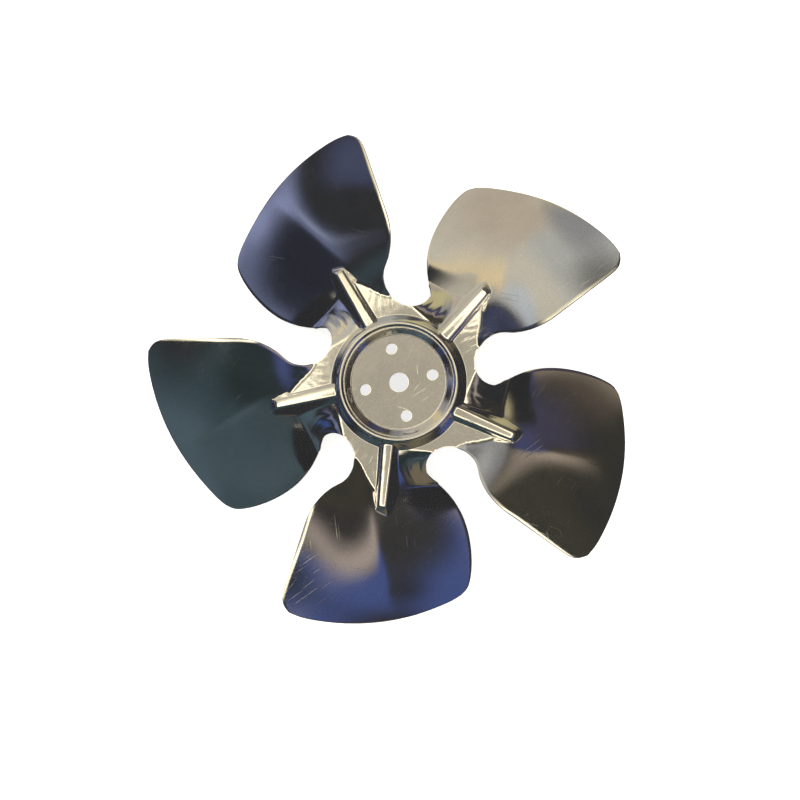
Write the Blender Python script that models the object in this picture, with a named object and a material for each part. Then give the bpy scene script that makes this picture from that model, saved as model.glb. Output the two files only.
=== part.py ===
"""Five-blade axial fan impeller, pressed and pierced from one aluminium sheet.

Row frame: the fan axis is Z and +Z points out of the face with the raised ring.
X and Y lie in the plane of rotation, and the origin is the centre of mass.
"""
import math

import bmesh
import bpy

# Whole impeller, in metres and degrees
FAN_RADIUS = 0.127
BLADES = 5
RIB_DIRECTION = 46.2
SHEET = 0.0012
DISC_LEVEL = 0.0041

# Hub disc and the raised ring round it
DISC_RADIUS = 0.0250
RING_WALL_TOP = 0.0293
RING_CREST_OUT = 0.0311
RING_FOOT = 0.0354
RING_HEIGHT = 0.0060
CENTRE_HOLE_RADIUS = 0.0050
BOLT_HOLE_RADIUS = 0.0028
BOLT_CIRCLE_RADIUS = 0.0181
BOLT_DIRECTION = 12.6
BOLTS = 4

# Stiffening rib along the root of each blade; edges are given at the ring and at the end
RIB_START = 0.0340
RIB_END = 0.0653
RIB_CLOCKWISE_EDGE = (-0.0047, -0.0028)
RIB_OTHER_EDGE = (0.0018, 0.0026)
RIB_TOP = (0.0043, 0.0031)
RIB_STEEP_WALL = 0.0008
RIB_SLOPED_WALL = 0.0040
RIB_END_WALL = 0.0088
RIB_DROP = 0.0085

# Crease between the blade's leading and trailing halves, as a line that turns in at the root
CREASE_LINE = (0.0610, -0.0070)
CREASE_RISE = 0.338
CREASE_TURN = 0.31
CREASE_TURN_ROUND = 0.0040
CREASE_ROUND = (0.0022, 0.0035)

# Blade panel: slope across the blade at its root, middle and tip, each from the crease outwards
PANEL_ROOT = 0.0580
TRAILING_REACH = 0.0520
TRAILING_SLOPES = ((0.48, 0.70, 0.46), (0.95, 0.87, 0.63), (0.83, 0.43, 0.38))
LEADING_REACH = 0.0400
LEADING_SLOPES = ((0.39, 0.60, 0.44), (0.53, 0.22, 0.16), (0.74, 0.57, 0.50))
CREASE_HEIGHTS = (0.0017, 0.0083, -0.01275)

# Root, where the level plane round the hub twists down to the trailing half
SEAM_END = 0.0330
ROOT_START = 0.0365
ROOT_RISE_LENGTH = 0.0100
HUB_TWIST = 46.0
HUB_TWIST_ROUND = (0.0030, 0.0025)
HUB_END = 0.0660
HUB_END_SLOPE = 0.6
ROOT_CREASE_ROUND = 0.0008

# Outline of a blade, as radius and angle from the rib, anticlockwise positive
LEADING_EDGE = [
    (0.0404, -36.0), (0.0410, -30.5), (0.0440, -24.3), (0.0486, -20.6), (0.0535, -19.6),
    (0.0578, -20.5), (0.0639, -23.8), (0.0709, -25.3), (0.0795, -25.1), (0.0914, -23.2),
    (0.1032, -21.6), (0.1141, -20.4), (0.1205, -19.6), (0.1237, -18.6), (0.1262, -16.9),
]
TIP_EDGE = [
    (0.1262, -16.9), (0.1270, -13.7), (0.1270, -8.2), (0.1270, 8.6), (0.1264, 13.2),
    (0.1255, 17.6), (0.1246, 21.2), (0.1235, 23.6),
]
TRAILING_EDGE = [
    (0.0404, 36.0), (0.0414, 31.3), (0.0447, 26.6), (0.0502, 24.7), (0.0550, 26.3),
    (0.0605, 29.3), (0.0687, 31.9), (0.0782, 32.9), (0.0880, 32.5), (0.0981, 31.2),
    (0.1079, 29.4), (0.1152, 27.7), (0.1207, 25.9), (0.1235, 23.6),
]

# Mesh density
LEADING_COLUMNS = 6
TRAILING_COLUMNS = 8
RING_RADII = [0.0250, 0.0262, 0.0279, 0.0293, 0.0302, 0.0311, 0.0325, 0.0340, 0.0354, 0.0380]
RIB_STATIONS = [
    0.0404, 0.0432, 0.0460, 0.0490, 0.0525, 0.0565, 0.0605, 0.0635, 0.0653,
    0.0669, 0.0687, 0.0715, 0.0760, 0.0820, 0.0890, 0.0965, 0.1040, 0.1110,
    0.1170, 0.1215, 0.1245, 0.1270,
]
HOLE_SEGMENTS = 32


def smooth(value):
    """Ease from 0 to 1 with level ends."""
    value = min(max(value, 0.0), 1.0)
    return value * value * (3.0 - 2.0 * value)


def ring_height(radius):
    """Height of the raised ring above the disc."""
    rise = smooth((radius - DISC_RADIUS) / (RING_WALL_TOP - DISC_RADIUS))
    drop = smooth((radius - RING_CREST_OUT) / (RING_FOOT - RING_CREST_OUT))
    return RING_HEIGHT * rise * (1.0 - drop)


def upper(first, second, rounding):
    """The higher of two values, with the corner between them rounded."""
    share = min(max(0.5 + 0.5 * (first - second) / rounding, 0.0), 1.0)
    return second + (first - second) * share + rounding * share * (1.0 - share)


def hinge(value, rounding):
    """Nothing below zero and the value itself above it, rounded at the hinge."""
    return 0.5 * (value + math.hypot(value, rounding))


def control(share):
    """Weights of three control values along a smooth curve, share from 0 to 1."""
    rest = 1.0 - share
    return rest * rest, 2.0 * rest * share, share * share


def fallen(slopes, share, place, reach):
    """Height lost from the crease to a place beside it, by the slopes given for root, middle, tip."""
    part = place / reach
    sums = ((1.0 - (1.0 - part) ** 3) / 3.0, part * part - part ** 3 / 1.5, part ** 3 / 3.0)
    rows = [sum(slope * value for slope, value in zip(row, sums)) for row in slopes]
    return reach * sum(weight * row for weight, row in zip(control(share), rows))


def blade_height(along, across):
    """Height of the pitched blade; along runs out on the rib, across anticlockwise."""
    share = upper((along - PANEL_ROOT) / (FAN_RADIUS - PANEL_ROOT), 0.0, 0.1)
    reach = min(max((along - ROOT_START) / (FAN_RADIUS - ROOT_START), 0.0), 1.0)
    rounding = between(CREASE_ROUND, reach)
    turned = CREASE_TURN * hinge(CREASE_LINE[0] - along, CREASE_TURN_ROUND)
    crease = CREASE_LINE[1] + CREASE_RISE * (along - CREASE_LINE[0]) - turned
    ahead = fallen(LEADING_SLOPES, share, hinge(crease - across, rounding), LEADING_REACH)
    behind = fallen(TRAILING_SLOPES, share, hinge(across - crease, rounding), TRAILING_REACH)
    level = sum(weight * height for weight, height in zip(control(share), CREASE_HEIGHTS))
    panel = smooth((along - ROOT_START) / ROOT_RISE_LENGTH) * (level + ahead) - behind
    twist = HUB_TWIST * hinge(across, HUB_TWIST_ROUND[0]) * hinge(along - ROOT_START, HUB_TWIST_ROUND[1])
    hub = -twist - HUB_END_SLOPE * hinge(along - HUB_END, HUB_TWIST_ROUND[1])
    return smooth((along - SEAM_END) / (ROOT_START - SEAM_END)) * upper(hub, panel, ROOT_CREASE_ROUND)


def rib_share(along):
    """How far a station lies along the rib, from 0 at the ring to 1 at the end."""
    return min(max((along - RIB_START) / (RIB_END - RIB_START), 0.0), 1.0)


def between(pair, share):
    """Value between the two of a pair."""
    return pair[0] + (pair[1] - pair[0]) * share


def rib_height(along, across):
    """Height of the rib: a flat top, one steep wall, one sloped wall and a sloped end."""
    share = rib_share(along)
    steep = max(between(RIB_CLOCKWISE_EDGE, share) - across, 0.0) / RIB_STEEP_WALL
    sloped = max(across - between(RIB_OTHER_EDGE, share), 0.0) / RIB_SLOPED_WALL
    end = max(along - RIB_END, 0.0) / RIB_END_WALL
    return between(RIB_TOP, share) - RIB_DROP * math.hypot(steep + sloped, end)


def sheet_height(along, across):
    """Height of the sheet's front face above the disc."""
    radius = math.hypot(along, across)
    height = ring_height(radius) + blade_height(along, across)
    if along > RING_CREST_OUT:
        return max(height, rib_height(along, across))
    return height


def curve_point(points, share):
    """Point on a Catmull-Rom curve through polar points, share from 0 to 1."""
    last = len(points) - 1
    place = min(max(share, 0.0), 1.0) * last
    index = min(int(place), last - 1)
    t = place - index
    span = [points[min(max(index + k, 0), last)] for k in (-1, 0, 1, 2)]
    result = []
    for a, b, c, d in zip(*span):
        bend = (2.0 * a - 5.0 * b + 4.0 * c - d) * t * t + (3.0 * b - a - 3.0 * c + d) * t ** 3
        result.append(0.5 * (2.0 * b + (c - a) * t + bend))
    return result


def even_samples(points, shares):
    """Points on the curve at the given shares of its length, as radius and angle."""
    steps = 400
    fine = [curve_point(points, i / steps) for i in range(steps + 1)]
    flat = [polar(radius, angle) for radius, angle in fine]
    reach = [0.0]
    for first, second in zip(flat, flat[1:]):
        reach.append(reach[-1] + math.dist(first, second))
    result = []
    index = 0
    for share in shares:
        goal = share * reach[-1]
        while index < steps - 1 and reach[index + 1] < goal:
            index += 1
        part = (goal - reach[index]) / (reach[index + 1] - reach[index])
        first, second = fine[index], fine[index + 1]
        result.append([a + (b - a) * part for a, b in zip(first, second)])
    return result


def polar(radius, degrees):
    """Flat point from a radius and an angle in degrees."""
    return radius * math.cos(math.radians(degrees)), radius * math.sin(math.radians(degrees))


def rib_angles(radius):
    """Angles of the rib's four lines at a radius, clockwise side first."""
    share = rib_share(radius)
    first = between(RIB_CLOCKWISE_EDGE, share)
    second = between(RIB_OTHER_EDGE, share)
    lines = [first - RIB_STEEP_WALL, first, second, second + RIB_SLOPED_WALL]
    return [math.degrees(math.asin(across / radius)) for across in lines]


def row_points(radius, low_edge, high_edge):
    """One row of polar points from the leading edge over the rib to the trailing edge."""
    middle = rib_angles(radius)
    row = []
    for column in range(LEADING_COLUMNS):
        share = column / LEADING_COLUMNS
        row.append((between((low_edge[0], radius), share),
                    between((low_edge[1], middle[0]), share)))
    row.extend((radius, angle) for angle in middle)
    for column in range(1, TRAILING_COLUMNS + 1):
        share = column / TRAILING_COLUMNS
        row.append((between((radius, high_edge[0]), share),
                    between((middle[-1], high_edge[1]), share)))
    return row


def ring_rows():
    """Rows of the hub, from one notch line to the next."""
    half = 180.0 / BLADES
    return [row_points(radius, (radius, -half), (radius, half)) for radius in RING_RADII]


def tip_radius(angle):
    """Radius of the tip edge at an angle from the rib."""
    low, high = 0.0, 1.0
    for _ in range(40):
        middle = (low + high) / 2.0
        if curve_point(TIP_EDGE, middle)[1] < angle:
            low = middle
        else:
            high = middle
    return curve_point(TIP_EDGE, low)[0]


def blade_rows():
    """Rows of the blade from the notch radius out to the tip."""
    first, last = RIB_STATIONS[0], RIB_STATIONS[-1]
    shares = [(station - first) / (last - first) for station in RIB_STATIONS]
    leading = even_samples(LEADING_EDGE, shares)
    trailing = even_samples(TRAILING_EDGE, shares)
    rows = [row_points(*edges) for edges in zip(RIB_STATIONS, leading, trailing)]
    gaps = [tip_radius(angle) - radius for radius, angle in rows[-1]]
    return [[(radius + gap * share * share, angle) for (radius, angle), gap in zip(row, gaps)]
            for share, row in zip(shares, rows)]


def build_sheet():
    """Front face of the whole impeller as one open surface."""
    mesh = bmesh.new()
    rows = ring_rows() + blade_rows()
    sectors = []
    for number in range(BLADES):
        turn = RIB_DIRECTION + 360.0 / BLADES * number
        grid = []
        for row in rows:
            line = []
            for radius, angle in row:
                along, across = polar(radius, angle)
                height = sheet_height(along, across) + DISC_LEVEL
                line.append(mesh.verts.new((*polar(radius, angle + turn), height)))
            grid.append(line)
        sectors.append(grid)
    for grid in sectors:
        for inner, outer in zip(grid, grid[1:]):
            for a, b, c, d in zip(inner, inner[1:], outer[1:], outer):
                mesh.faces.new((a, d, c, b))
    bmesh.ops.remove_doubles(mesh, verts=mesh.verts, dist=0.00005)
    bmesh.ops.holes_fill(mesh, edges=disc_edges(mesh), sides=0)
    bmesh.ops.recalc_face_normals(mesh, faces=mesh.faces)
    if sum(face.normal.z for face in mesh.faces) < 0.0:
        bmesh.ops.reverse_faces(mesh, faces=mesh.faces)
    return mesh


def disc_edges(mesh):
    """Open edges on the rim of the hub disc."""
    limit = DISC_RADIUS + 0.0005
    return [edge for edge in mesh.edges
            if edge.is_boundary and all(vert.co.xy.length < limit for vert in edge.verts)]


def drill(target, name, radius, centre):
    """Cut one round hole along Z."""
    bpy.ops.mesh.primitive_cylinder_add(
        vertices=HOLE_SEGMENTS, radius=radius, depth=0.02, location=(*centre, DISC_LEVEL))
    cutter = bpy.context.object
    cutter.name = name
    cutter.display_type = "WIRE"
    cutter.hide_render = True
    cut = target.modifiers.new(name, "BOOLEAN")
    cut.operation = "DIFFERENCE"
    cut.solver = "EXACT"
    cut.object = cutter


def aluminium():
    """Bare rolled aluminium."""
    material = bpy.data.materials.new("aluminium")
    material.use_nodes = True
    shader = material.node_tree.nodes["Principled BSDF"]
    shader.inputs["Base Color"].default_value = (0.72, 0.71, 0.69, 1.0)
    shader.inputs["Metallic"].default_value = 1.0
    shader.inputs["Roughness"].default_value = 0.22
    return material


def main():
    for item in list(bpy.data.objects):
        bpy.data.objects.remove(item, do_unlink=True)

    sheet = build_sheet()
    mesh = bpy.data.meshes.new("impeller")
    sheet.to_mesh(mesh)
    sheet.free()
    mesh.materials.append(aluminium())
    mesh.shade_smooth()
    impeller = bpy.data.objects.new("impeller", mesh)
    bpy.context.scene.collection.objects.link(impeller)

    thicken = impeller.modifiers.new("sheet", "SOLIDIFY")
    thicken.thickness = SHEET
    thicken.offset = -1.0
    thicken.use_even_offset = True

    drill(impeller, "centre_hole", CENTRE_HOLE_RADIUS, (0.0, 0.0))
    for number in range(BOLTS):
        direction = BOLT_DIRECTION + 360.0 / BOLTS * number
        drill(impeller, f"bolt_hole_{number}", BOLT_HOLE_RADIUS,
              polar(BOLT_CIRCLE_RADIUS, direction))


main()
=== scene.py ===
"""Looks of the five-blade fan impeller: the pressed sheet in detail, its finish, light and camera.

Frame: metres, the fan axis is Z, +Z points out of the face with the raised ring.
"""
import math

import bmesh
import bpy
import numpy as np
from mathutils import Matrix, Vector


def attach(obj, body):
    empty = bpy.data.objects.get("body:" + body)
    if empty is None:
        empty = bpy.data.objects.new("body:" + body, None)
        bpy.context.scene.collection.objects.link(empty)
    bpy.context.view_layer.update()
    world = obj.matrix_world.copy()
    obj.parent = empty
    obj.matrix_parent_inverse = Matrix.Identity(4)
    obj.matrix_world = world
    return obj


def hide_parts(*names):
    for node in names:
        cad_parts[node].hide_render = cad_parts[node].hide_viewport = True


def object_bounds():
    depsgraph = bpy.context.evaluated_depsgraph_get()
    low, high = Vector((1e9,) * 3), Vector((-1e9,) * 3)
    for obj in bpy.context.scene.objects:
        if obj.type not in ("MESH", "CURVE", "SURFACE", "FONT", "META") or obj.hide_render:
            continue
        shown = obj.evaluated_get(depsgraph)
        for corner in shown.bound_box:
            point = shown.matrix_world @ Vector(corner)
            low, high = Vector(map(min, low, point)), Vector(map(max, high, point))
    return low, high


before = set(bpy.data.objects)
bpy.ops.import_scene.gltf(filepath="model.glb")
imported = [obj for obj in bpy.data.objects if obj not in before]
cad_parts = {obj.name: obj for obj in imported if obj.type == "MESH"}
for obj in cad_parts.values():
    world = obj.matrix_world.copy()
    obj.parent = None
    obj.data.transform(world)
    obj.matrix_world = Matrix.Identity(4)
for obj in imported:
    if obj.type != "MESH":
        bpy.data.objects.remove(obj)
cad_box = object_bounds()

MM = 0.001

# Whole impeller, as in the solid
FAN_RADIUS = 127.0 * MM
BLADES = 5
RIB_DIRECTION = 46.2
SHEET = 1.2 * MM
DISC_LEVEL = 4.1 * MM

# Hub disc, raised ring and holes
DISC_RADIUS = 24.95 * MM
RING_FOOT = 35.2 * MM
RING_SLOPE = 1.5
RING_CREST_ROUND = 6.5 * MM
RING_FOOT_ROUND = 0.6 * MM
CENTRE_HOLE_RADIUS = 5.0 * MM
BOLT_HOLE_RADIUS = 2.8 * MM
BOLT_CIRCLE_RADIUS = 18.1 * MM
BOLT_DIRECTION = 12.6
BOLTS = 4

# Stiffening rib, each pair given at the ring and at the rib's end
RIB_START = 34.0 * MM
RIB_END = 65.6 * MM
RIB_CLOCKWISE_EDGE = (-4.7 * MM, -2.8 * MM)
RIB_OTHER_EDGE = (2.0 * MM, 2.7 * MM)
RIB_TOP = (4.4 * MM, 3.2 * MM)
RIB_STEEP_SLOPE = 6.0
RIB_SIDE_SLOPE = (1.8, 2.5)
RIB_END_SLOPE = 1.2
RIB_EDGE_ROUND = 0.6 * MM
RIB_FOOT_ROUND = 0.7 * MM
RIB_INNER_LIMIT = 31.0 * MM

# Crease between the blade's leading and trailing halves, as a line that turns in at the root
CREASE_LINE = (61.0 * MM, -7.0 * MM)
CREASE_RISE = 0.338
CREASE_TURN = 0.31
CREASE_TURN_ROUND = 4.0 * MM
CREASE_ROUND = (2.2 * MM, 3.5 * MM)

# Blade panel: slope across the blade at its root, middle and tip, each from the crease outwards
PANEL_ROOT = 58.0 * MM
TRAILING_REACH = 52.0 * MM
TRAILING_SLOPES = ((0.48, 0.70, 0.46), (0.95, 0.87, 0.63), (0.83, 0.43, 0.38))
LEADING_REACH = 40.0 * MM
LEADING_SLOPES = ((0.39, 0.60, 0.44), (0.53, 0.22, 0.16), (0.74, 0.57, 0.49))
CREASE_HEIGHTS = (1.7 * MM, 8.3 * MM, -12.7 * MM)
PANEL_START_RUN = 10.0 * MM
SHARE_ROUND = 0.1

# Root, where the level plane round the hub twists down to the trailing half
SEAM_END = 33.0 * MM
ROOT_START = 36.5 * MM
HUB_TWIST = 46.0
HUB_TWIST_ROUND = (3.0 * MM, 2.5 * MM)
HUB_END = 66.0 * MM
HUB_END_SLOPE = 0.6
ROOT_CREASE_ROUND = 0.8 * MM

# Stretch marks of the pressing beside the rib: height, spacing and lean, clockwise side first.
# Reach is their middle and half length along the rib, clearance how far beside it they start
# and the run in which they grow, sway the height and length of their wandering.
MARK_HEIGHTS = (0.05 * MM, 0.10 * MM)
MARK_SPACING = (4.6 * MM, 4.9 * MM)
MARK_LEAN = (0.55, -0.30)
MARK_REACH = (44.0 * MM, 6.5 * MM)
MARK_CLEARANCE = (4.5 * MM, 3.5 * MM)
MARK_SWAY = (0.9 * MM, 2.3 * MM)
MARK_START_RUN = 4.0 * MM
SECOND_WAVE_HEIGHT = 0.5
SECOND_WAVE_RATE = 1.7

# Outline of a blade, as radius in millimetres and angle from the rib, anticlockwise positive
LEADING_EDGE = [
    (40.4, -36.0), (41.0, -30.5), (44.0, -24.3), (48.6, -20.6), (53.5, -19.6),
    (57.8, -20.5), (63.9, -23.8), (70.9, -25.3), (79.5, -25.1), (91.4, -23.2),
    (103.2, -21.6), (114.1, -20.4), (120.5, -19.6), (123.7, -18.6), (126.2, -16.9),
]
TIP_EDGE = [
    (126.2, -16.9), (126.9, -13.7), (126.9, -8.2), (126.9, 8.6), (126.4, 13.2),
    (125.5, 17.6), (124.6, 21.2), (123.5, 23.6),
]
TRAILING_EDGE = [
    (40.4, 36.0), (41.4, 31.3), (44.7, 26.6), (50.2, 24.7), (55.0, 26.3),
    (60.5, 29.3), (68.7, 31.9), (78.2, 32.9), (88.0, 32.5), (98.1, 31.2),
    (107.9, 29.4), (115.2, 27.7), (120.7, 25.9), (123.5, 23.6),
]

# Mesh density: columns from the leading edge over the rib to the trailing edge
LEADING_COLUMNS = 18
STEEP_COLUMNS = 7
TOP_COLUMNS = 3
EDGE_COLUMNS = 6
SIDE_COLUMNS = 3
FOOT_COLUMNS = 6
TRAILING_COLUMNS = 20
LEADING_CROWDING = 1.35
HOLE_BAND = 0.5 * MM
HOLE_SEGMENTS = 48

# Column stops beside the rib's clockwise edge and beside its other edge
CLOCKWISE_STOPS = (-2.0 * MM, 1.3 * MM)
OTHER_STOPS = (-1.3 * MM, 1.3 * MM, 2.6 * MM, 6.6 * MM)

# Radius where the columns begin to spread evenly, and the run in which they do
EVEN_START = 70.0 * MM
EVEN_RUN = 65.0 * MM

# Rows in millimetres of radius, as legs of start, end and number of steps
HUB_ROWS = ((24.0, 24.6, 1), (24.6, 25.6, 5), (25.6, 28.3, 4), (28.3, 31.7, 11),
            (31.7, 34.5, 4), (34.5, 36.0, 6), (36.0, 39.6, 4))
BLADE_ROWS = ((40.4, 64.0, 26), (64.0, 71.0, 11), (71.0, 124.0, 42), (124.0, 127.0, 5))
DISC_RIM_LIMIT = 24.05 * MM

# Share of a row that bends to follow each side edge, and how late the rows bend to the tip
SIDE_FOLLOW = 0.42
TIP_FOLLOW_POWER = 3

# Samples taken along an outline curve
EDGE_SAMPLES = 800
TIP_SAMPLES = 400

# Cut edges, softened where the sheet turns more sharply than the limit in degrees
CUT_EDGE_ROUND = 0.18 * MM
CUT_EDGE_LIMIT = 62.0

# Sets of hairline scratches: direction in degrees, waves per metre along and across them, threshold
SCRATCHES = (
    (34.0, 45.0, 1300.0, 0.67),
    (52.0, 60.0, 1500.0, 0.69),
    (-18.0, 38.0, 1100.0, 0.70),
    (97.0, 50.0, 1300.0, 0.71),
)
SCRATCH_WIDTH = 0.05
SCRATCH_GATE = (0.52, 0.66)
SCRATCH_GATE_WAVES = (30.0, 40.0)

# Other waves of the finish, per metre. The rolling grain has its direction in degrees first, and
# the root's streaks have their waves per radian around the hub first.
FINE_WAVES = 2600.0
MOTTLE_WAVES = 1100.0
PATCH_WAVES = 55.0
GRAIN_WAVES = (32.0, 140.0, 1500.0)
STREAK_WAVES = (32.0, 90.0)
STREAK_INNER = (36.0 * MM, 41.0 * MM)
STREAK_OUTER = (56.0 * MM, 47.0 * MM)

# Roughness of the metal, what grain and scratches add to it, and the weights of the relief
ROUGHNESS = (0.08, 0.13)
GRAIN_ROUGHNESS = (-0.02, 0.03)
SCRATCH_ROUGHNESS = 0.12
FINE_RELIEF = 0.9
GRAIN_RELIEF = 0.8
STREAK_RELIEF = 6.0
SCRATCH_RELIEF = 1.4
RELIEF_STRENGTH = 0.25
RELIEF_DEPTH = 0.04 * MM

# Colour of the metal, darkest and lightest
TINT_LOW = (0.78, 0.77, 0.75, 1.0)
TINT_HIGH = (0.98, 0.97, 0.95, 1.0)

# Camera, in place of the one that took the photograph
CAMERA_PLACE = (20.43 * MM, -24.65 * MM, 309.48 * MM)
CAMERA_TURN = (2.092, 2.162, 0.052)
CAMERA_LENS = 26.354
CAMERA_SHIFT = (-0.0197, 0.0098)


def ease(value):
    """Ease from 0 to 1 with level ends."""
    value = np.clip(value, 0.0, 1.0)
    return value * value * (3.0 - 2.0 * value)


def lower(a, b, rounding):
    """The lower of two heights, with the corner between them rounded."""
    share = np.clip(0.5 + 0.5 * (b - a) / rounding, 0.0, 1.0)
    return b + (a - b) * share - rounding * share * (1.0 - share)


def upper(a, b, rounding):
    """The higher of two heights, with the corner between them rounded."""
    return -lower(-a, -b, rounding)


def hinge(value, rounding):
    """Nothing below zero and the value itself above it, rounded at the hinge."""
    return 0.5 * (value + np.sqrt(value * value + rounding * rounding))


def between(pair, share):
    """Value between the two of a pair."""
    return pair[0] + (pair[1] - pair[0]) * share


def bell(value, centre, width):
    """Bell curve."""
    return np.exp(-((value - centre) / width) ** 2)


def ring_height(radius):
    """Height of the raised ring above the disc, with a round crest and tight feet."""
    inner = RING_SLOPE * (radius - DISC_RADIUS)
    outer = RING_SLOPE * (RING_FOOT - radius)
    return upper(lower(inner, outer, RING_CREST_ROUND), 0.0 * radius, RING_FOOT_ROUND)


def control(share):
    """Weights of three control values along a smooth curve, share from 0 to 1."""
    rest = 1.0 - share
    return rest * rest, 2.0 * rest * share, share * share


def fallen(slopes, share, place, reach):
    """Height lost from the crease to a place beside it, by slopes for root, middle and tip."""
    part = place / reach
    sums = ((1.0 - (1.0 - part) ** 3) / 3.0, part * part - part ** 3 / 1.5, part ** 3 / 3.0)
    total = 0.0
    for weight, row in zip(control(share), slopes):
        total = total + weight * sum(slope * value for slope, value in zip(row, sums))
    return total * reach


def crease_across(along):
    """Place across the blade of its crease."""
    turned = CREASE_TURN * hinge(CREASE_LINE[0] - along, CREASE_TURN_ROUND)
    return CREASE_LINE[1] + CREASE_RISE * (along - CREASE_LINE[0]) - turned


def blade_height(along, across):
    """Height of the pitched blade; along runs out on the rib, across anticlockwise."""
    share = (along - PANEL_ROOT) / (FAN_RADIUS - PANEL_ROOT)
    share = upper(share, 0.0 * share, SHARE_ROUND)
    reach = np.clip((along - ROOT_START) / (FAN_RADIUS - ROOT_START), 0.0, 1.0)
    rounding = between(CREASE_ROUND, reach)
    crease = crease_across(along)
    ahead = fallen(LEADING_SLOPES, share, hinge(crease - across, rounding), LEADING_REACH)
    behind = fallen(TRAILING_SLOPES, share, hinge(across - crease, rounding), TRAILING_REACH)
    level = sum(weight * height for weight, height in zip(control(share), CREASE_HEIGHTS))
    start = ease((along - ROOT_START) / PANEL_START_RUN)
    panel = start * (level + ahead) - behind
    across_round, along_round = HUB_TWIST_ROUND
    twist = HUB_TWIST * hinge(across, across_round) * hinge(along - ROOT_START, along_round)
    hub = -twist - HUB_END_SLOPE * hinge(along - HUB_END, along_round)
    away = ease((along - SEAM_END) / (ROOT_START - SEAM_END))
    return away * upper(hub, panel, ROOT_CREASE_ROUND)


def stretch_marks(along, across):
    """Shallow waves that the pressing left in the root on both sides of the rib."""
    total = 0.0
    zone = bell(along, *MARK_REACH)
    sway, sway_length = MARK_SWAY
    clearance, growth = MARK_CLEARANCE
    for side, height, spacing, lean in zip((-1.0, 1.0), MARK_HEIGHTS, MARK_SPACING, MARK_LEAN):
        place = across + lean * along + sway * np.sin(along / sway_length + side)
        phase = 2.0 * math.pi * place / spacing
        wave = np.sin(phase) + SECOND_WAVE_HEIGHT * np.sin(SECOND_WAVE_RATE * phase + 1.0)
        total = total + height * wave * zone * ease((side * across - clearance) / growth)
    return total


def rib_share(along):
    """How far a place lies along the rib, from 0 at the ring to 1 at the end."""
    return np.clip((along - RIB_START) / (RIB_END - RIB_START), 0.0, 1.0)


def rib_height(along, across):
    """Height of the rib: a flat top, two walls and a sloped end, all rounded."""
    share = rib_share(along)
    clockwise = hinge(between(RIB_CLOCKWISE_EDGE, share) - across, RIB_EDGE_ROUND)
    steep = RIB_STEEP_SLOPE * clockwise
    other = hinge(across - between(RIB_OTHER_EDGE, share), RIB_EDGE_ROUND)
    sloped = between(RIB_SIDE_SLOPE, share) * other
    end = RIB_END_SLOPE * hinge(along - RIB_END, RIB_EDGE_ROUND)
    return between(RIB_TOP, share) - np.hypot(steep + sloped, end)


def sheet_height(along, across):
    """Height of the sheet's front face above the disc."""
    radius = np.hypot(along, across)
    height = ring_height(radius) + blade_height(along, across)
    height = height + stretch_marks(along, across) * ease((along - SEAM_END) / MARK_START_RUN)
    rib = upper(height, rib_height(along, across), RIB_FOOT_ROUND)
    return np.where(along > RIB_INNER_LIMIT, rib, height)


def curve_point(points, share):
    """Point on a Catmull-Rom curve through polar points, share from 0 to 1."""
    last = len(points) - 1
    place = min(max(share, 0.0), 1.0) * last
    index = min(int(place), last - 1)
    t = place - index
    span = [points[min(max(index + k, 0), last)] for k in (-1, 0, 1, 2)]
    result = []
    for a, b, c, d in zip(*span):
        bend = (2.0 * a - 5.0 * b + 4.0 * c - d) * t * t + (3.0 * b - a - 3.0 * c + d) * t ** 3
        result.append(0.5 * (2.0 * b + (c - a) * t + bend))
    return result


def edge_samples(points, shares):
    """Radius and angle on an edge curve at the given shares of its length."""
    fine = np.array([curve_point(points, i / EDGE_SAMPLES) for i in range(EDGE_SAMPLES + 1)])
    angle = np.radians(fine[:, 1])
    flat = fine[:, :1] * np.column_stack((np.cos(angle), np.sin(angle)))
    reach = np.concatenate(([0.0], np.cumsum(np.hypot(*np.diff(flat, axis=0).T))))
    goal = np.asarray(shares) * reach[-1]
    return np.interp(goal, reach, fine[:, 0]) * MM, np.interp(goal, reach, fine[:, 1])


def row_angles(radius, low, high):
    """Angles in degrees of one row's points, dense at the rib's walls, even at the tip."""
    share = rib_share(radius)
    first = between(RIB_CLOCKWISE_EDGE, share)
    second = between(RIB_OTHER_EDGE, share)
    stops = [first + stop for stop in CLOCKWISE_STOPS]
    stops += [second + stop for stop in OTHER_STOPS]
    stops = [math.degrees(math.asin(stop / radius)) for stop in stops]
    counts = [LEADING_COLUMNS, STEEP_COLUMNS, TOP_COLUMNS, EDGE_COLUMNS, SIDE_COLUMNS,
              FOOT_COLUMNS, TRAILING_COLUMNS]
    marks = [low] + stops + [high]
    angles = [low]
    for number, (start, end, count) in enumerate(zip(marks, marks[1:], counts)):
        part = np.arange(1, count + 1) / count
        if number == 0:
            part = 1.0 - (1.0 - part) ** LEADING_CROWDING
        angles.extend(start + (end - start) * part)
    dense = np.array(angles)
    even = np.linspace(low, high, len(dense))
    spread = ease((radius - EVEN_START) / EVEN_RUN)
    return dense + (even - dense) * spread


def stations_of(legs):
    """Radii from legs of start, end and number of steps, given in millimetres."""
    stations = [legs[0][0]]
    for start, end, count in legs:
        stations.extend(start + (end - start) * np.arange(1, count + 1) / count)
    return np.array(stations) * MM


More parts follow.
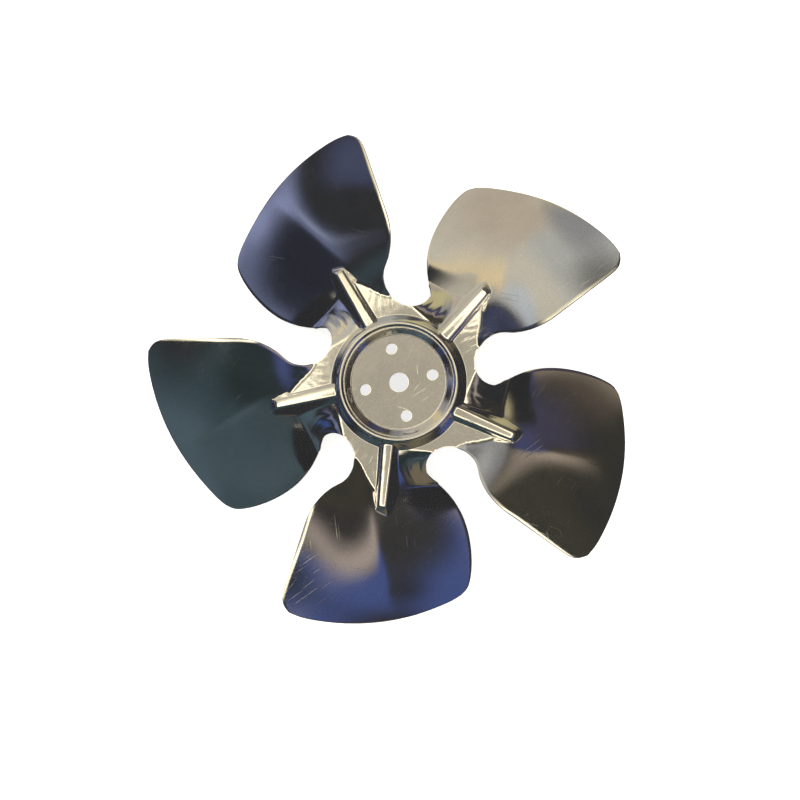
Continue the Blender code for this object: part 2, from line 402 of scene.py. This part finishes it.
def sector_rows():
    """Rows of one sector, from the hub out to the tip, as radius and angle arrays."""
    half = 180.0 / BLADES
    hub = stations_of(HUB_ROWS)
    rows = []
    for radius in hub:
        angles = row_angles(radius, -half, half)
        rows.append((np.full(len(angles), radius), angles))
    stations = stations_of(BLADE_ROWS)
    shares = (stations - stations[0]) / (stations[-1] - stations[0])
    low_radius, low_angle = edge_samples(LEADING_EDGE, shares)
    high_radius, high_angle = edge_samples(TRAILING_EDGE, shares)
    tip_radii, tip_angles = edge_samples(TIP_EDGE, np.linspace(0.0, 1.0, TIP_SAMPLES))
    for index, station in enumerate(stations):
        angles = row_angles(station, low_angle[index], high_angle[index])
        turn = (angles - angles[0]) / (angles[-1] - angles[0])
        away_low = ease(1.0 - turn / SIDE_FOLLOW)
        away_high = ease(1.0 - (1.0 - turn) / SIDE_FOLLOW)
        radii = (station + (low_radius[index] - station) * away_low
                 + (high_radius[index] - station) * away_high)
        rows.append((radii, angles))
    blade = rows[len(hub):]
    last_radii, last_angles = blade[-1]
    gap = np.interp(last_angles, tip_angles, tip_radii) - last_radii
    for index, share in enumerate(shares):
        radii, angles = blade[index]
        rows[len(hub) + index] = (radii + gap * share ** TIP_FOLLOW_POWER, angles)
    return rows


def hole_loops():
    """Centre and radius of each hole."""
    holes = [((0.0, 0.0), CENTRE_HOLE_RADIUS)]
    for number in range(BOLTS):
        turn = math.radians(BOLT_DIRECTION + 360.0 / BOLTS * number)
        centre = (BOLT_CIRCLE_RADIUS * math.cos(turn), BOLT_CIRCLE_RADIUS * math.sin(turn))
        holes.append((centre, BOLT_HOLE_RADIUS))
    return holes


def add_disc(mesh, rim):
    """Flat disc inside the ring, with its holes, joined to the given rim vertices."""
    edges = [mesh.edges.get(pair) or mesh.edges.new(pair) for pair in zip(rim, rim[1:] + rim[:1])]
    for (x, y), radius in hole_loops():
        loops = []
        for reach in (radius, radius + HOLE_BAND):
            loop = []
            for step in range(HOLE_SEGMENTS):
                turn = 2.0 * math.pi * step / HOLE_SEGMENTS
                place = (x + reach * math.cos(turn), y + reach * math.sin(turn), DISC_LEVEL)
                loop.append(mesh.verts.new(place))
            loops.append(loop)
        inner, outer = loops
        for step in range(HOLE_SEGMENTS):
            other = (step + 1) % HOLE_SEGMENTS
            mesh.faces.new((inner[step], outer[step], outer[other], inner[other]))
            edges.append(mesh.edges.get((outer[step], outer[other])))
    bmesh.ops.triangle_fill(mesh, edges=edges, use_beauty=True)


def build_front():
    """Front face of the whole sheet as one open surface."""
    mesh = bmesh.new()
    rows = sector_rows()
    for number in range(BLADES):
        turn = math.radians(RIB_DIRECTION + 360.0 / BLADES * number)
        grid = []
        for radii, angles in rows:
            angle = np.radians(angles)
            along, across = radii * np.cos(angle), radii * np.sin(angle)
            height = sheet_height(along, across) + DISC_LEVEL
            xs, ys = radii * np.cos(angle + turn), radii * np.sin(angle + turn)
            grid.append([mesh.verts.new(place) for place in zip(xs, ys, height)])
        for inner, outer in zip(grid, grid[1:]):
            for a, b, c, d in zip(inner, inner[1:], outer[1:], outer):
                mesh.faces.new((a, d, c, b))
    bmesh.ops.remove_doubles(mesh, verts=mesh.verts, dist=0.00001)
    bmesh.ops.recalc_face_normals(mesh, faces=mesh.faces)
    rim = [vert for vert in mesh.verts if vert.co.xy.length < DISC_RIM_LIMIT]
    rim.sort(key=lambda vert: math.atan2(vert.co.y, vert.co.x))
    for vert in rim:
        vert.co.z = DISC_LEVEL
    add_disc(mesh, rim)
    for face in mesh.faces:
        face.smooth = True
        if face.normal.z < 0.0:
            face.normal_flip()
    return mesh


def build_sheet(material):
    """The pressed sheet: front face, thickness and softened cut edges."""
    front = build_front()
    mesh = bpy.data.meshes.new("impeller_sheet")
    front.to_mesh(mesh)
    front.free()
    mesh.materials.append(material)
    sheet = bpy.data.objects.new("impeller_sheet", mesh)
    bpy.context.scene.collection.objects.link(sheet)
    thicken = sheet.modifiers.new("thickness", "SOLIDIFY")
    thicken.thickness = SHEET
    thicken.offset = -1.0
    thicken.use_even_offset = True
    soften = sheet.modifiers.new("cut_edges", "BEVEL")
    soften.width = CUT_EDGE_ROUND
    soften.segments = 2
    soften.limit_method = "ANGLE"
    soften.angle_limit = math.radians(CUT_EDGE_LIMIT)
    return sheet


class Nodes:
    """Short way to add and link shader nodes."""

    def __init__(self, tree):
        self.tree = tree

    def add(self, kind, inputs=None, **settings):
        node = self.tree.nodes.new(kind)
        for name, value in settings.items():
            setattr(node, name, value)
        for key, value in (inputs or {}).items():
            self.put(node.inputs[key], value)
        return node

    def put(self, socket, value):
        if isinstance(value, bpy.types.NodeSocket):
            self.tree.links.new(value, socket)
        else:
            socket.default_value = value

    def math(self, operation, a, b=0.0, clamp=False):
        node = self.add("ShaderNodeMath", {0: a, 1: b}, operation=operation, use_clamp=clamp)
        return node.outputs[0]

    def ramp(self, value, low, high, out_low=0.0, out_high=1.0):
        node = self.add("ShaderNodeMapRange", {"Value": value, "From Min": low, "From Max": high,
                                               "To Min": out_low, "To Max": out_high})
        return node.outputs[0]

    def noise(self, vector, scale, detail=2.0, roughness=0.5, distortion=0.0):
        node = self.add("ShaderNodeTexNoise", {"Vector": vector, "Scale": scale, "Detail": detail,
                                               "Roughness": roughness, "Distortion": distortion})
        return node.outputs["Fac"]

    def turned(self, vector, degrees, stretch_along, stretch_across):
        scale = (1.0 / stretch_along, 1.0 / stretch_across, 1.0)
        rotation = (0.0, 0.0, math.radians(degrees))
        inputs = {"Vector": vector, "Rotation": rotation, "Scale": scale}
        node = self.add("ShaderNodeMapping", inputs, vector_type="TEXTURE")
        return node.outputs[0]


def aluminium():
    """Bare rolled aluminium: half-mirror, with rolling grain, hairline scratches and scuffs."""
    material = bpy.data.materials.new("bare_aluminium")
    material.use_nodes = True
    nodes = Nodes(material.node_tree)
    shader = material.node_tree.nodes["Principled BSDF"]
    place = nodes.add("ShaderNodeTexCoord").outputs["Object"]

    fine = nodes.noise(place, FINE_WAVES, 3.0, 0.6)
    grain = nodes.noise(nodes.turned(place, *GRAIN_WAVES), 1.0, 3.0, 0.6)
    patches = nodes.noise(place, PATCH_WAVES, 4.0, 0.6)

    scratches = None
    for degrees, along, across, low in SCRATCHES:
        lines = nodes.noise(nodes.turned(place, degrees, along, across), 1.0, 1.0, 0.4)
        gate = nodes.noise(nodes.turned(place, degrees, *SCRATCH_GATE_WAVES), 1.0, 1.0, 0.5)
        mark = nodes.math("MULTIPLY", nodes.ramp(lines, low, low + SCRATCH_WIDTH),
                          nodes.ramp(gate, *SCRATCH_GATE))
        scratches = mark if scratches is None else nodes.math("MAXIMUM", scratches, mark)

    rough = nodes.ramp(patches, 0.3, 0.75, *ROUGHNESS)
    rough = nodes.math("ADD", rough, nodes.ramp(grain, 0.3, 0.7, *GRAIN_ROUGHNESS))
    rough = nodes.math("ADD", rough, nodes.math("MULTIPLY", scratches, SCRATCH_ROUGHNESS))
    nodes.put(shader.inputs["Roughness"], rough)

    mottle = nodes.ramp(nodes.noise(place, MOTTLE_WAVES, 4.0, 0.7), 0.3, 0.7)
    mottle = nodes.math("MULTIPLY", mottle, 0.6)
    mottle = nodes.math("ADD", mottle, nodes.math("MULTIPLY", nodes.ramp(patches, 0.3, 0.7), 0.4))
    tint = nodes.add("ShaderNodeMix", {"Factor": mottle}, data_type="RGBA")
    tint.inputs["A"].default_value = TINT_LOW
    tint.inputs["B"].default_value = TINT_HIGH
    nodes.put(shader.inputs["Base Color"], tint.outputs["Result"])
    shader.inputs["Metallic"].default_value = 1.0

    axes = nodes.add("ShaderNodeSeparateXYZ", {0: place}).outputs
    turn = nodes.math("ARCTAN2", axes["Y"], axes["X"])
    reach = nodes.add("ShaderNodeVectorMath", {0: place}, operation="LENGTH").outputs["Value"]
    around = nodes.math("MULTIPLY", turn, STREAK_WAVES[0])
    outward = nodes.math("MULTIPLY", reach, STREAK_WAVES[1])
    polar = nodes.add("ShaderNodeCombineXYZ", {"X": around, "Y": outward}).outputs[0]
    streaks = nodes.noise(polar, 1.0, 2.0, 0.55, 0.6)
    zone = nodes.ramp(reach, *STREAK_INNER)
    zone = nodes.math("MULTIPLY", zone, nodes.ramp(reach, *STREAK_OUTER))
    streaks = nodes.math("MULTIPLY", streaks, nodes.math("MULTIPLY", zone, STREAK_RELIEF))

    relief = nodes.math("MULTIPLY", fine, FINE_RELIEF)
    relief = nodes.math("ADD", relief, nodes.math("MULTIPLY", grain, GRAIN_RELIEF))
    relief = nodes.math("ADD", relief, streaks)
    relief = nodes.math("SUBTRACT", relief, nodes.math("MULTIPLY", scratches, SCRATCH_RELIEF))
    inputs = {"Height": relief, "Strength": RELIEF_STRENGTH, "Distance": RELIEF_DEPTH}
    bump = nodes.add("ShaderNodeBump", inputs)
    nodes.put(shader.inputs["Normal"], bump.outputs["Normal"])
    return material


def floor_finish():
    """Matt near-white floor."""
    material = bpy.data.materials.new("pale_floor")
    material.use_nodes = True
    shader = material.node_tree.nodes["Principled BSDF"]
    shader.inputs["Base Color"].default_value = (0.93, 0.93, 0.93, 1.0)
    shader.inputs["Roughness"].default_value = 0.9
    shader.inputs["Specular IOR Level"].default_value = 0.1
    shader.inputs["Emission Color"].default_value = (1.0, 1.0, 1.0, 1.0)
    shader.inputs["Emission Strength"].default_value = 0.7
    return material


def build_floor(level):
    """Plain pale floor under the lowest point."""
    bpy.ops.mesh.primitive_plane_add(size=FLOOR_SIZE, location=(0.0, 0.0, level))
    floor = bpy.context.object
    floor.name = "studio_floor"
    floor.data.materials.append(floor_finish())
    floor.visible_glossy = False


FLOOR_SIZE = 6.0
FLOOR_LIGHT = 1.9
FLOOR_LIGHT_WIDTH = 120.0

# Soft panels of the studio, later ones in front of earlier ones. Each has its azimuth and
# elevation, half its width and height and its tilt in degrees, its border's softness, its colour.
# Azimuths wrap at the seam. The camera itself sees only the plain backdrop.
STUDIO = (0.030, 0.031, 0.034)
BACKDROP = (1.0, 1.0, 1.0)
SEAM = 222.0
PANELS = [
    # bright ceiling, with the camera's dim surroundings in its middle
    (0.0, 90.0, 2000.0, 25.0, 0.0, 0.10, (1.90, 1.70, 1.25)),
    (118.0, 62.0, 36.0, 11.0, 0.0, 0.5, (1.10, 0.98, 0.68)),
    (0.0, 90.0, 2000.0, 15.0, 0.0, 0.12, (0.43, 0.39, 0.305)),
    # window behind the upper right blade
    (121.0, 10.0, 32.0, 50.0, 0.0, 0.2, (0.56, 0.52, 0.43)),
    (103.0, 34.0, 9.0, 26.0, 0.0, 0.7, (0.45, 0.45, 0.42)),
    (108.0, 4.0, 16.0, 14.0, 20.0, 0.5, (0.48, 0.41, 0.32)),
    (138.0, 21.0, 15.0, 5.5, 55.0, 0.7, (0.74, 0.60, 0.36)),
    (142.0, 39.5, 10.0, 3.5, 0.0, 0.6, (0.48, 0.53, 0.57)),
    (92.0, 22.0, 6.0, 32.0, 0.0, 0.4, (0.27, 0.27, 0.27)),
    # low gold wall on the far side
    (78.0, -20.0, 18.0, 34.0, 0.0, 0.3, (0.52, 0.46, 0.26)),
    # upper left: dark wall with a lavender strip of sky under it
    (159.0, 45.0, 5.0, 14.0, 0.0, 0.7, (0.060, 0.070, 0.13)),
    (182.0, 19.0, 32.0, 9.0, 38.0, 0.5, (0.125, 0.145, 0.24)),
    (181.0, 25.0, 21.0, 2.2, 42.0, 0.9, (0.24, 0.27, 0.39)),
    (168.0, 2.0, 8.0, 11.0, 0.0, 0.8, (0.25, 0.28, 0.46)),
    (194.0, 16.5, 27.0, 6.0, 38.0, 0.55, (0.024, 0.026, 0.036)),
    (209.0, 8.0, 7.0, 9.0, 0.0, 0.6, (0.045, 0.08, 0.22)),
    (148.0, 8.0, 7.0, 24.0, 0.0, 0.5, (0.30, 0.30, 0.32)),
    # left: teal wall
    (262.0, 30.0, 36.0, 36.0, 0.0, 0.25, (0.040, 0.062, 0.072)),
    (282.0, 52.0, 30.0, 14.0, 0.0, 0.6, (0.024, 0.034, 0.036)),
    (236.0, 12.0, 14.0, 18.0, 0.0, 0.9, (0.075, 0.110, 0.135)),
    (264.0, 24.0, 20.0, 4.5, 35.0, 0.8, (0.065, 0.092, 0.105)),
    (290.0, 0.0, 14.0, 24.0, 0.0, 0.5, (0.17, 0.145, 0.095)),
    # below: blue sky with a pale cloud and its dark middle
    (317.0, 36.0, 9.0, 27.0, 0.0, 0.4, (0.062, 0.088, 0.235)),
    (334.0, 26.0, 17.0, 9.0, 20.0, 0.4, (0.062, 0.088, 0.235)),
    (352.0, 20.0, 30.0, 9.0, 33.0, 0.45, (0.040, 0.039, 0.037)),
    (346.0, 47.0, 27.0, 16.0, 0.0, 0.35, (0.37, 0.31, 0.27)),
    (364.0, 49.0, 26.0, 8.0, -5.0, 0.6, (0.035, 0.032, 0.032)),
    # right: dark olive wall with a low beige patch
    (55.0, 46.0, 42.0, 13.0, 0.0, 0.35, (0.047, 0.044, 0.034)),
    (33.0, 16.0, 11.0, 22.0, 0.0, 0.5, (0.040, 0.038, 0.032)),
    (50.0, 23.0, 15.0, 10.0, 33.0, 0.5, (0.085, 0.068, 0.052)),
    (62.0, 31.0, 23.0, 5.5, 24.0, 0.7, (0.34, 0.28, 0.22)),
    (72.0, 25.0, 10.0, 8.0, 30.0, 0.5, (0.055, 0.062, 0.14)),
    (58.0, 9.0, 15.0, 4.0, 36.0, 0.7, (0.060, 0.055, 0.095)),
]


def build_world():
    """Dark studio with soft panels, placed by direction."""
    world = bpy.data.worlds.new("soft_studio")
    bpy.context.scene.world = world
    world.use_nodes = True
    tree = world.node_tree
    tree.nodes.clear()
    nodes = Nodes(tree)
    direction = nodes.add("ShaderNodeTexCoord").outputs["Generated"]
    axes = nodes.add("ShaderNodeSeparateXYZ", {0: direction}).outputs
    azimuth = nodes.math("DEGREES", nodes.math("ARCTAN2", axes["Y"], axes["X"]))
    limits = {0: azimuth, 1: SEAM, 2: SEAM - 360.0}
    azimuth = nodes.add("ShaderNodeMath", limits, operation="WRAP").outputs[0]
    elevation = nodes.math("DEGREES", nodes.math("ARCSINE", axes["Z"]))
    place = nodes.add("ShaderNodeCombineXYZ", {"X": azimuth, "Y": elevation}).outputs[0]
    total = STUDIO + (1.0,)
    for centre, level, width, height, tilt, softness, colour in PANELS:
        if centre > SEAM:
            centre = centre - 360.0
        inputs = {"Vector": place, "Location": (centre, level, 0.0),
                  "Rotation": (0.0, 0.0, math.radians(tilt)), "Scale": (width, height, 1.0)}
        panel = nodes.add("ShaderNodeMapping", inputs, vector_type="TEXTURE")
        distance = nodes.add("ShaderNodeVectorMath", {0: panel.outputs[0]}, operation="LENGTH")
        inputs = {"Value": distance.outputs["Value"],
                  "From Min": 1.0 + softness, "From Max": 1.0 - softness}
        share = nodes.add("ShaderNodeMapRange", inputs,
                          interpolation_type="SMOOTHSTEP").outputs[0]
        mix = nodes.add("ShaderNodeMix", {"Factor": share}, data_type="RGBA")
        nodes.put(mix.inputs["A"], total)
        nodes.put(mix.inputs["B"], colour + (1.0,))
        total = mix.outputs["Result"]
    seen = nodes.add("ShaderNodeLightPath").outputs["Is Camera Ray"]
    mix = nodes.add("ShaderNodeMix", {"Factor": seen}, data_type="RGBA")
    nodes.put(mix.inputs["A"], total)
    nodes.put(mix.inputs["B"], BACKDROP + (1.0,))
    background = nodes.add("ShaderNodeBackground", {"Color": mix.outputs["Result"]})
    background.inputs["Strength"].default_value = 1.0
    output = nodes.add("ShaderNodeOutputWorld")
    tree.links.new(background.outputs[0], output.inputs["Surface"])


def build_lamps():
    """Broad overhead light that only the matt floor takes up."""
    data = bpy.data.lights.new("floor_light", "SUN")
    data.energy = FLOOR_LIGHT
    data.angle = math.radians(FLOOR_LIGHT_WIDTH)
    lamp = bpy.data.objects.new("floor_light", data)
    lamp.visible_glossy = False
    bpy.context.scene.collection.objects.link(lamp)


def build_camera():
    """Camera where the photograph was taken from, almost straight above the hub."""
    data = bpy.data.cameras.new("camera")
    data.sensor_width = 36.0
    data.lens = CAMERA_LENS
    data.shift_x, data.shift_y = CAMERA_SHIFT
    camera = bpy.data.objects.new("camera", data)
    camera.location = CAMERA_PLACE
    camera.rotation_euler = [math.radians(value) for value in CAMERA_TURN]
    data.clip_start = 0.01
    data.clip_end = 20.0
    bpy.context.scene.collection.objects.link(camera)
    bpy.context.scene.camera = camera


sheet = build_sheet(aluminium())
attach(sheet, "root")
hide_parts("impeller")

build_floor(cad_box[0].z)
build_world()
build_lamps()
build_camera()
bpy.context.scene.view_settings.view_transform = "Standard"
